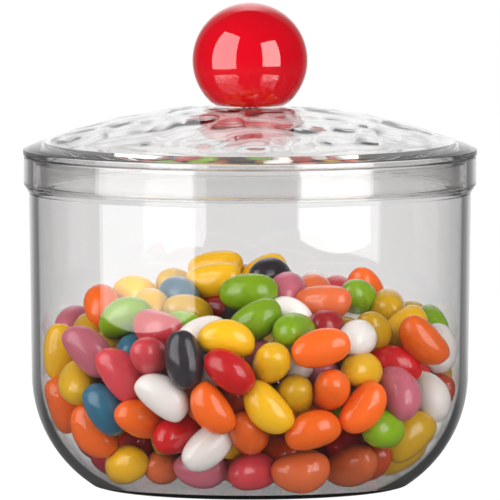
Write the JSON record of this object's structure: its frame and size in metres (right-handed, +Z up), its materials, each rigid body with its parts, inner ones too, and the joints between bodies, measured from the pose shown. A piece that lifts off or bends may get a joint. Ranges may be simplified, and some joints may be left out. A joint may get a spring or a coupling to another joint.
{
  "type": "candy jar",
  "caption": "Clear round jar with a stepped collar, a lift-off rippled dome lid with a soft seal and a red ball knob, shown holding a heap of jelly beans.",
  "frame": {"origin": "centre of the flat base that the jar stands on", "axes": "+Z up through the knob, +Y away from the viewer of the picture, +X to the viewer's right"},
  "size_m": [0.1386, 0.1386, 0.1475],
  "materials": {
    "clear_jar": "clear moulded plastic, polished inside and out",
    "clear_lid": "clear moulded plastic with a pressed water ripple",
    "soft_seal": "translucent soft seal, satin",
    "red_knob": "glossy opaque red",
    "brass_insert": "turned brass",
    "steel_screw": "bright zinc-plated steel",
    "steel_washer": "bright zinc-plated steel",
    "jelly_beans": "polished sugar shells in mixed colours"
  },
  "bodies": {
    "jar": {"jar_body": "clear_jar", "candy_fill": "jelly_beans"},
    "seal": {"seal_ring": "soft_seal"},
    "closure": {"lid": "clear_lid", "knob": "red_knob", "knob_insert": "brass_insert", "knob_screw": "steel_screw", "screw_washer": "steel_washer"}
  },
  "joints": [
    {"name": "lid_lift", "type": "slide", "parent": "jar", "child": "seal", "axis": [0, 0, 1], "range_m": [0, 0.06]},
    {"name": "lid_turn", "type": "hinge", "parent": "seal", "child": "closure", "pos_m": [0, 0, 0.1], "axis": [0, 0, 1], "continuous": true}
  ]
}
